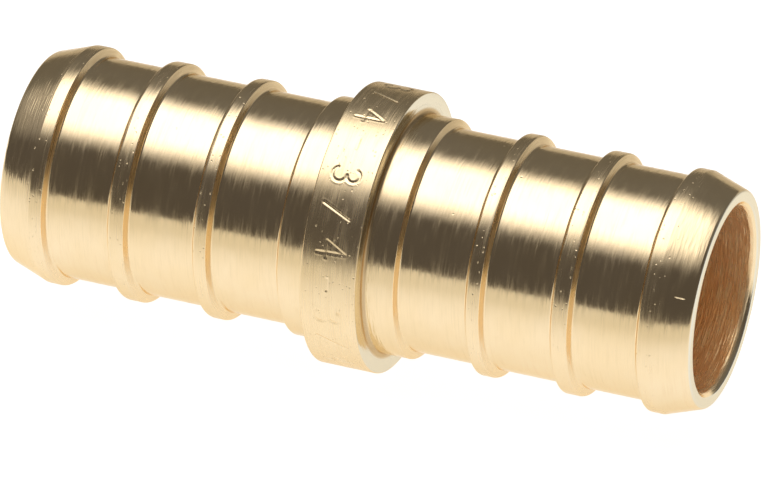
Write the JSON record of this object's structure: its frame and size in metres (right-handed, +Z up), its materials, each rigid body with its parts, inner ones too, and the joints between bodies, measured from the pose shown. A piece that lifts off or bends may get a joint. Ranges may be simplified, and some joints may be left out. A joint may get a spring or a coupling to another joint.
{
  "type": "insert coupling for flexible water tube",
  "caption": "Straight brass insert coupling: an open waterway, a stop collar at mid-length and a ribbed, tapered end each side that a flexible tube is pushed over and crimped on.",
  "frame": {"origin": "middle of the stop collar, on the axis of the waterway", "axes": "+X along the waterway to one open end, +Z up with the fitting lying on its side, +Y completes a right-handed set"},
  "size_m": [0.0516, 0.0202, 0.0202],
  "materials": {
    "brass": "bright turned brass with fine rings round the axis, faintly duller inside the waterway"
  },
  "bodies": {
    "root": {"coupling_body": "brass"}
  },
  "joints": []
}
